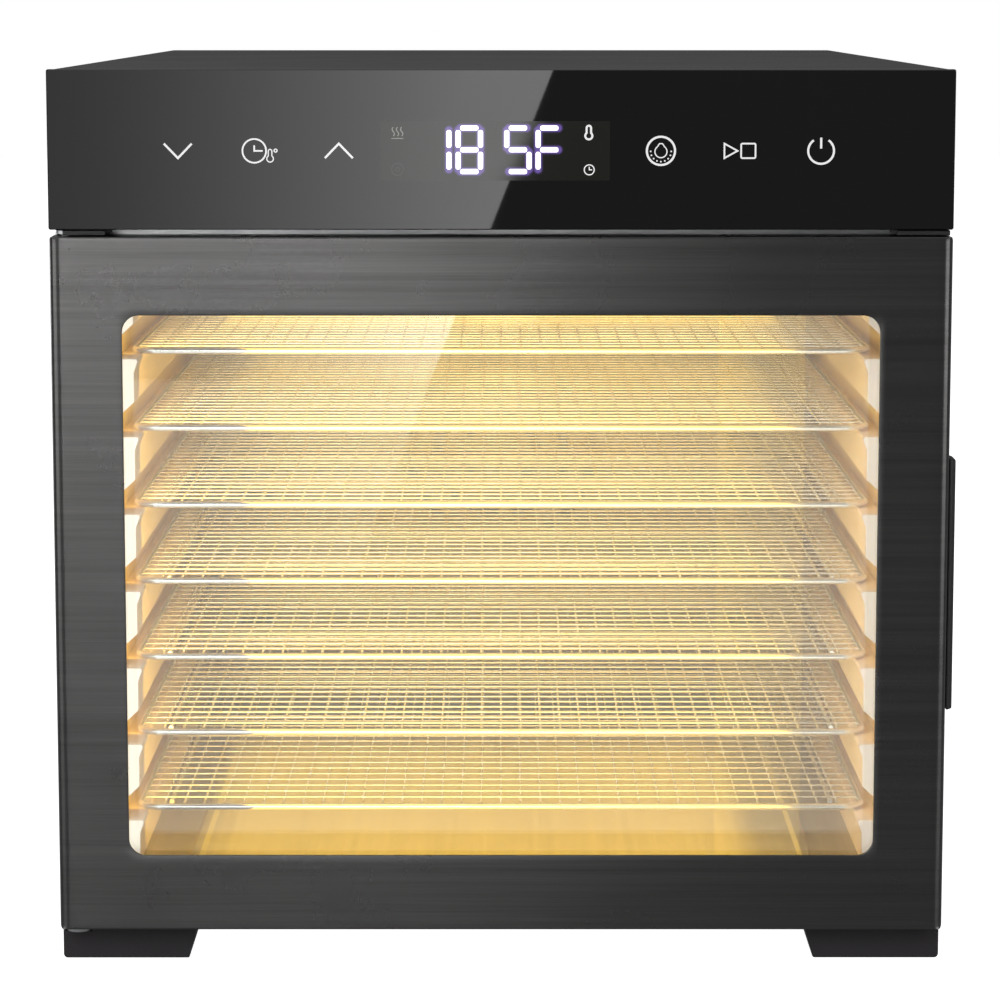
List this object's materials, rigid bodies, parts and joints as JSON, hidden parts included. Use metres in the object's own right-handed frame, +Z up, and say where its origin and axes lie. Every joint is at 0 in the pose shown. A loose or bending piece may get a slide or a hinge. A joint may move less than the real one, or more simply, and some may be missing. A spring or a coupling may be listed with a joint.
{
  "type": "food dehydrator",
  "caption": "Countertop food dehydrator: boxy dark steel case, black glass touch panel, left-hinged glazed door, stacked wire trays on side rails, rear fan and ring heater.",
  "frame": {"origin": "under the middle of the whole, on the plane the feet stand on", "axes": "+Z up, the door and control panel face -Y, +X to the right seen from the front"},
  "size_m": [0.3486, 0.45, 0.349],
  "materials": {
    "dark_sheet": "fine satin powder coat, near black",
    "brushed_dark": "dark tinted stainless steel, brushed along its width",
    "black_glass": "polished black-backed glass",
    "clear_glass": "clear polished glass",
    "black_plastic": "fine moulded texture, black",
    "foot_plastic": "fine moulded texture, dark grey",
    "stainless": "satin stainless steel",
    "cream_plastic": "smooth moulded plastic, warm white",
    "tray_wire": "electropolished steel wire",
    "galvanised": "zinc plated steel",
    "silicone": "matte silicone, dark grey",
    "warm_lens": "frosted lamp cover",
    "circuit_board": "solder mask green",
    "display_face": "smoked display window",
    "brass": "turned brass",
    "heater_sheath": "heat tinted steel tube",
    "magnet": "matte magnet compound"
  },
  "bodies": {
    "case": {"outer_shell": "dark_sheet", "base_plate": "galvanised", "front_frame": "stainless", "rear_panel": "dark_sheet", "cord_gland": "black_plastic", "rear_screw_1": "galvanised", "rear_screw_2": "galvanised", "rear_screw_3": "galvanised", "rear_screw_4": "galvanised", "rear_screw_5": "galvanised", "rear_screw_6": "galvanised", "foot_front_left": "foot_plastic", "foot_front_right": "foot_plastic", "foot_rear_left": "foot_plastic", "foot_rear_right": "foot_plastic", "upper_hinge_bracket": "galvanised", "lower_hinge_bracket": "galvanised", "upper_hinge_pin": "galvanised", "lower_hinge_pin": "galvanised", "corner_cover_left": "black_plastic", "corner_cover_right": "black_plastic", "control_housing": "black_plastic", "control_glass": "black_glass", "display_module": "display_face", "control_board": "circuit_board", "side_wall_left": "cream_plastic", "side_wall_right": "cream_plastic", "cavity_floor": "stainless", "cavity_ceiling": "stainless", "air_baffle": "stainless", "plenum_back": "galvanised", "heater_ring": "heater_sheath", "heater_clip_left": "galvanised", "heater_clip_right": "galvanised", "thermal_cutout": "brass", "temperature_probe": "stainless", "fan_motor": "galvanised", "lamp_base": "black_plastic", "lamp_lens": "warm_lens", "power_board": "circuit_board", "strike_plate": "galvanised"},
    "door": {"door_panel": "brushed_dark", "door_inner_frame": "black_plastic", "door_outer_pane": "clear_glass", "door_inner_pane": "clear_glass", "door_seal": "silicone", "door_pull": "black_plastic", "door_magnet": "magnet", "upper_hinge_bush": "brass", "lower_hinge_bush": "brass"},
    "fan": {"motor_shaft": "stainless", "fan_impeller": "galvanised"},
    "tray_1": {"tray_1": "tray_wire"},
    "tray_2": {"tray_2": "tray_wire"},
    "tray_3": {"tray_3": "tray_wire"},
    "tray_4": {"tray_4": "tray_wire"},
    "tray_5": {"tray_5": "tray_wire"},
    "tray_6": {"tray_6": "tray_wire"},
    "tray_7": {"tray_7": "tray_wire"}
  },
  "joints": [
    {"name": "door_hinge", "type": "hinge", "parent": "case", "child": "door", "pos_m": [-0.1678, -0.215, 0.15], "axis": [0, 0, -1], "range_deg": [0, 120]},
    {"name": "fan_spin", "type": "hinge", "parent": "case", "child": "fan", "pos_m": [-0.0015, 0.17, 0.1484], "axis": [0, 1, 0], "continuous": true},
    {"name": "tray_1_slide", "type": "slide", "parent": "case", "child": "tray_1", "axis": [0, -1, 0], "range_m": [0, 0.014]},
    {"name": "tray_2_slide", "type": "slide", "parent": "case", "child": "tray_2", "axis": [0, -1, 0], "range_m": [0, 0.014]},
    {"name": "tray_3_slide", "type": "slide", "parent": "case", "child": "tray_3", "axis": [0, -1, 0], "range_m": [0, 0.014]},
    {"name": "tray_4_slide", "type": "slide", "parent": "case", "child": "tray_4", "axis": [0, -1, 0], "range_m": [0, 0.014]},
    {"name": "tray_5_slide", "type": "slide", "parent": "case", "child": "tray_5", "axis": [0, -1, 0], "range_m": [0, 0.014]},
    {"name": "tray_6_slide", "type": "slide", "parent": "case", "child": "tray_6", "axis": [0, -1, 0], "range_m": [0, 0.014]},
    {"name": "tray_7_slide", "type": "slide", "parent": "case", "child": "tray_7", "axis": [0, -1, 0], "range_m": [0, 0.014]}
  ]
}
